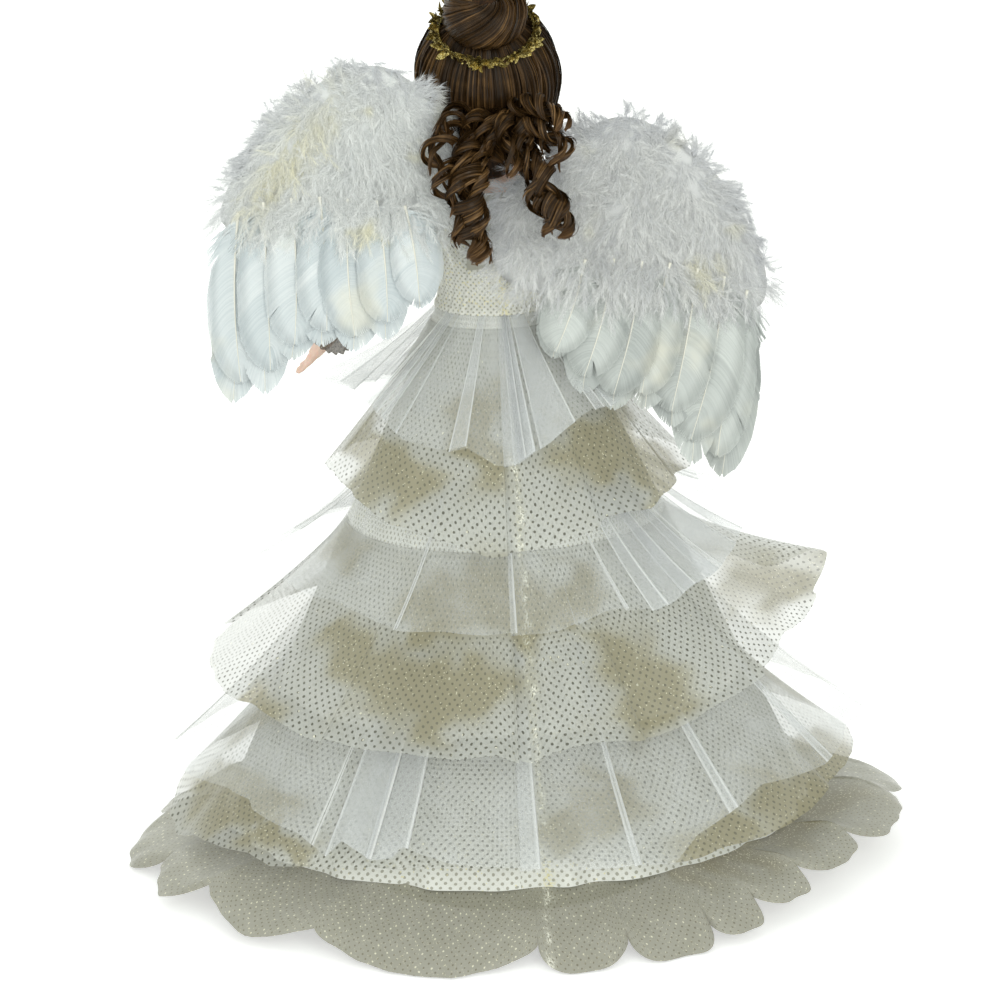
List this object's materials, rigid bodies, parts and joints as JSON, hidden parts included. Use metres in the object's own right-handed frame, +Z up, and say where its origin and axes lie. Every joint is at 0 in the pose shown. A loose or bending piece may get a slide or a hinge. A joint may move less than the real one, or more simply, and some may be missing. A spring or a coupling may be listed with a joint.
{
  "type": "porcelain angel doll",
  "caption": "Treetop angel doll with a bisque head and hands, a tiered ruffled net skirt, feather wings, a brown wig with bun and ringlets, and a gilt leaf crown.",
  "frame": {"origin": "on the table, under the middle of the box round the skirt and the doll", "axes": "+Z up through the doll's height; the doll faces -Y, so its left hand is on +X"},
  "size_m": [0.359, 0.2879, 0.4053],
  "materials": {
    "bisque": "satin",
    "cloth": "matte",
    "paper": "matte",
    "satin": "satin",
    "dotted_net": "satin",
    "tulle": "matte",
    "glitter_net": "satin",
    "hair": "satin",
    "gilt": "satin",
    "feather": "matte",
    "down": "matte",
    "wire": "brushed"
  },
  "bodies": {
    "doll": {"treetop_cone": "paper", "skirt_lining": "satin", "peplum_tulle": "tulle", "ruffle_dotted_upper": "dotted_net", "ruffle_tulle_upper": "tulle", "ruffle_dotted_middle": "dotted_net", "ruffle_tulle_lower": "tulle", "ruffle_dotted_lower": "dotted_net", "hem_flounce_net": "glitter_net", "cloth_trunk": "cloth", "arm_wire": "wire", "bodice": "satin", "bisque_shoulder_head": "bisque", "wig_cap": "hair", "hair_bun": "hair", "leaf_crown": "gilt", "wing_plate": "paper", "ringlet_back_left": "hair", "ringlet_back_right": "hair", "ringlet_back_middle": "hair", "ringlet_upper_right": "hair", "ringlet_upper_left": "hair", "ringlet_temple_left": "hair", "ringlet_temple_right": "hair", "wing_stud_left": "wire", "wing_stud_right": "wire"},
    "wing_left": {"wing_wire_left": "wire", "wing_card_left": "paper", "feather_1_left": "feather", "feather_2_left": "feather", "feather_3_left": "feather", "feather_4_left": "feather", "feather_5_left": "feather", "feather_6_left": "feather", "feather_7_left": "feather", "coverts_left": "feather", "down_back_left": "down", "down_front_left": "down"},
    "wing_right": {"wing_wire_right": "wire", "wing_card_right": "paper", "feather_1_right": "feather", "feather_2_right": "feather", "feather_3_right": "feather", "feather_4_right": "feather", "feather_5_right": "feather", "feather_6_right": "feather", "feather_7_right": "feather", "coverts_right": "feather", "down_back_right": "down", "down_front_right": "down"},
    "arm_left": {"upper_arm_left": "cloth", "sleeve_left": "tulle"},
    "arm_right": {"upper_arm_right": "cloth", "sleeve_right": "tulle"},
    "forearm_left": {"forearm_left": "bisque", "cuff_left": "dotted_net"},
    "forearm_right": {"forearm_right": "bisque", "cuff_right": "dotted_net"}
  },
  "joints": [
    {"name": "wing_left_tilt", "type": "hinge", "parent": "doll", "child": "wing_left", "pos_m": [0.008, 0.0233, 0.308], "axis": [0, 1, 0], "range_deg": [-4, 14]},
    {"name": "wing_right_tilt", "type": "hinge", "parent": "doll", "child": "wing_right", "pos_m": [-0.008, 0.0233, 0.288], "axis": [0, -1, 0], "range_deg": [-10, 3]},
    {"name": "shoulder_left", "type": "hinge", "parent": "doll", "child": "arm_left", "pos_m": [0.0415, 0, 0.298], "axis": [-1, 0, 0], "range_deg": [-10, 80]},
    {"name": "shoulder_right", "type": "hinge", "parent": "doll", "child": "arm_right", "pos_m": [-0.0415, 0, 0.298], "axis": [-1, 0, 0], "range_deg": [-10, 80]},
    {"name": "elbow_left", "type": "hinge", "parent": "arm_left", "child": "forearm_left", "pos_m": [0.06471, -0.01383, 0.25652], "axis": [-1, 0, 0], "range_deg": [0, 40]},
    {"name": "elbow_right", "type": "hinge", "parent": "arm_right", "child": "forearm_right", "pos_m": [-0.06471, -0.01383, 0.25652], "axis": [-1, 0, 0], "range_deg": [0, 40]}
  ]
}
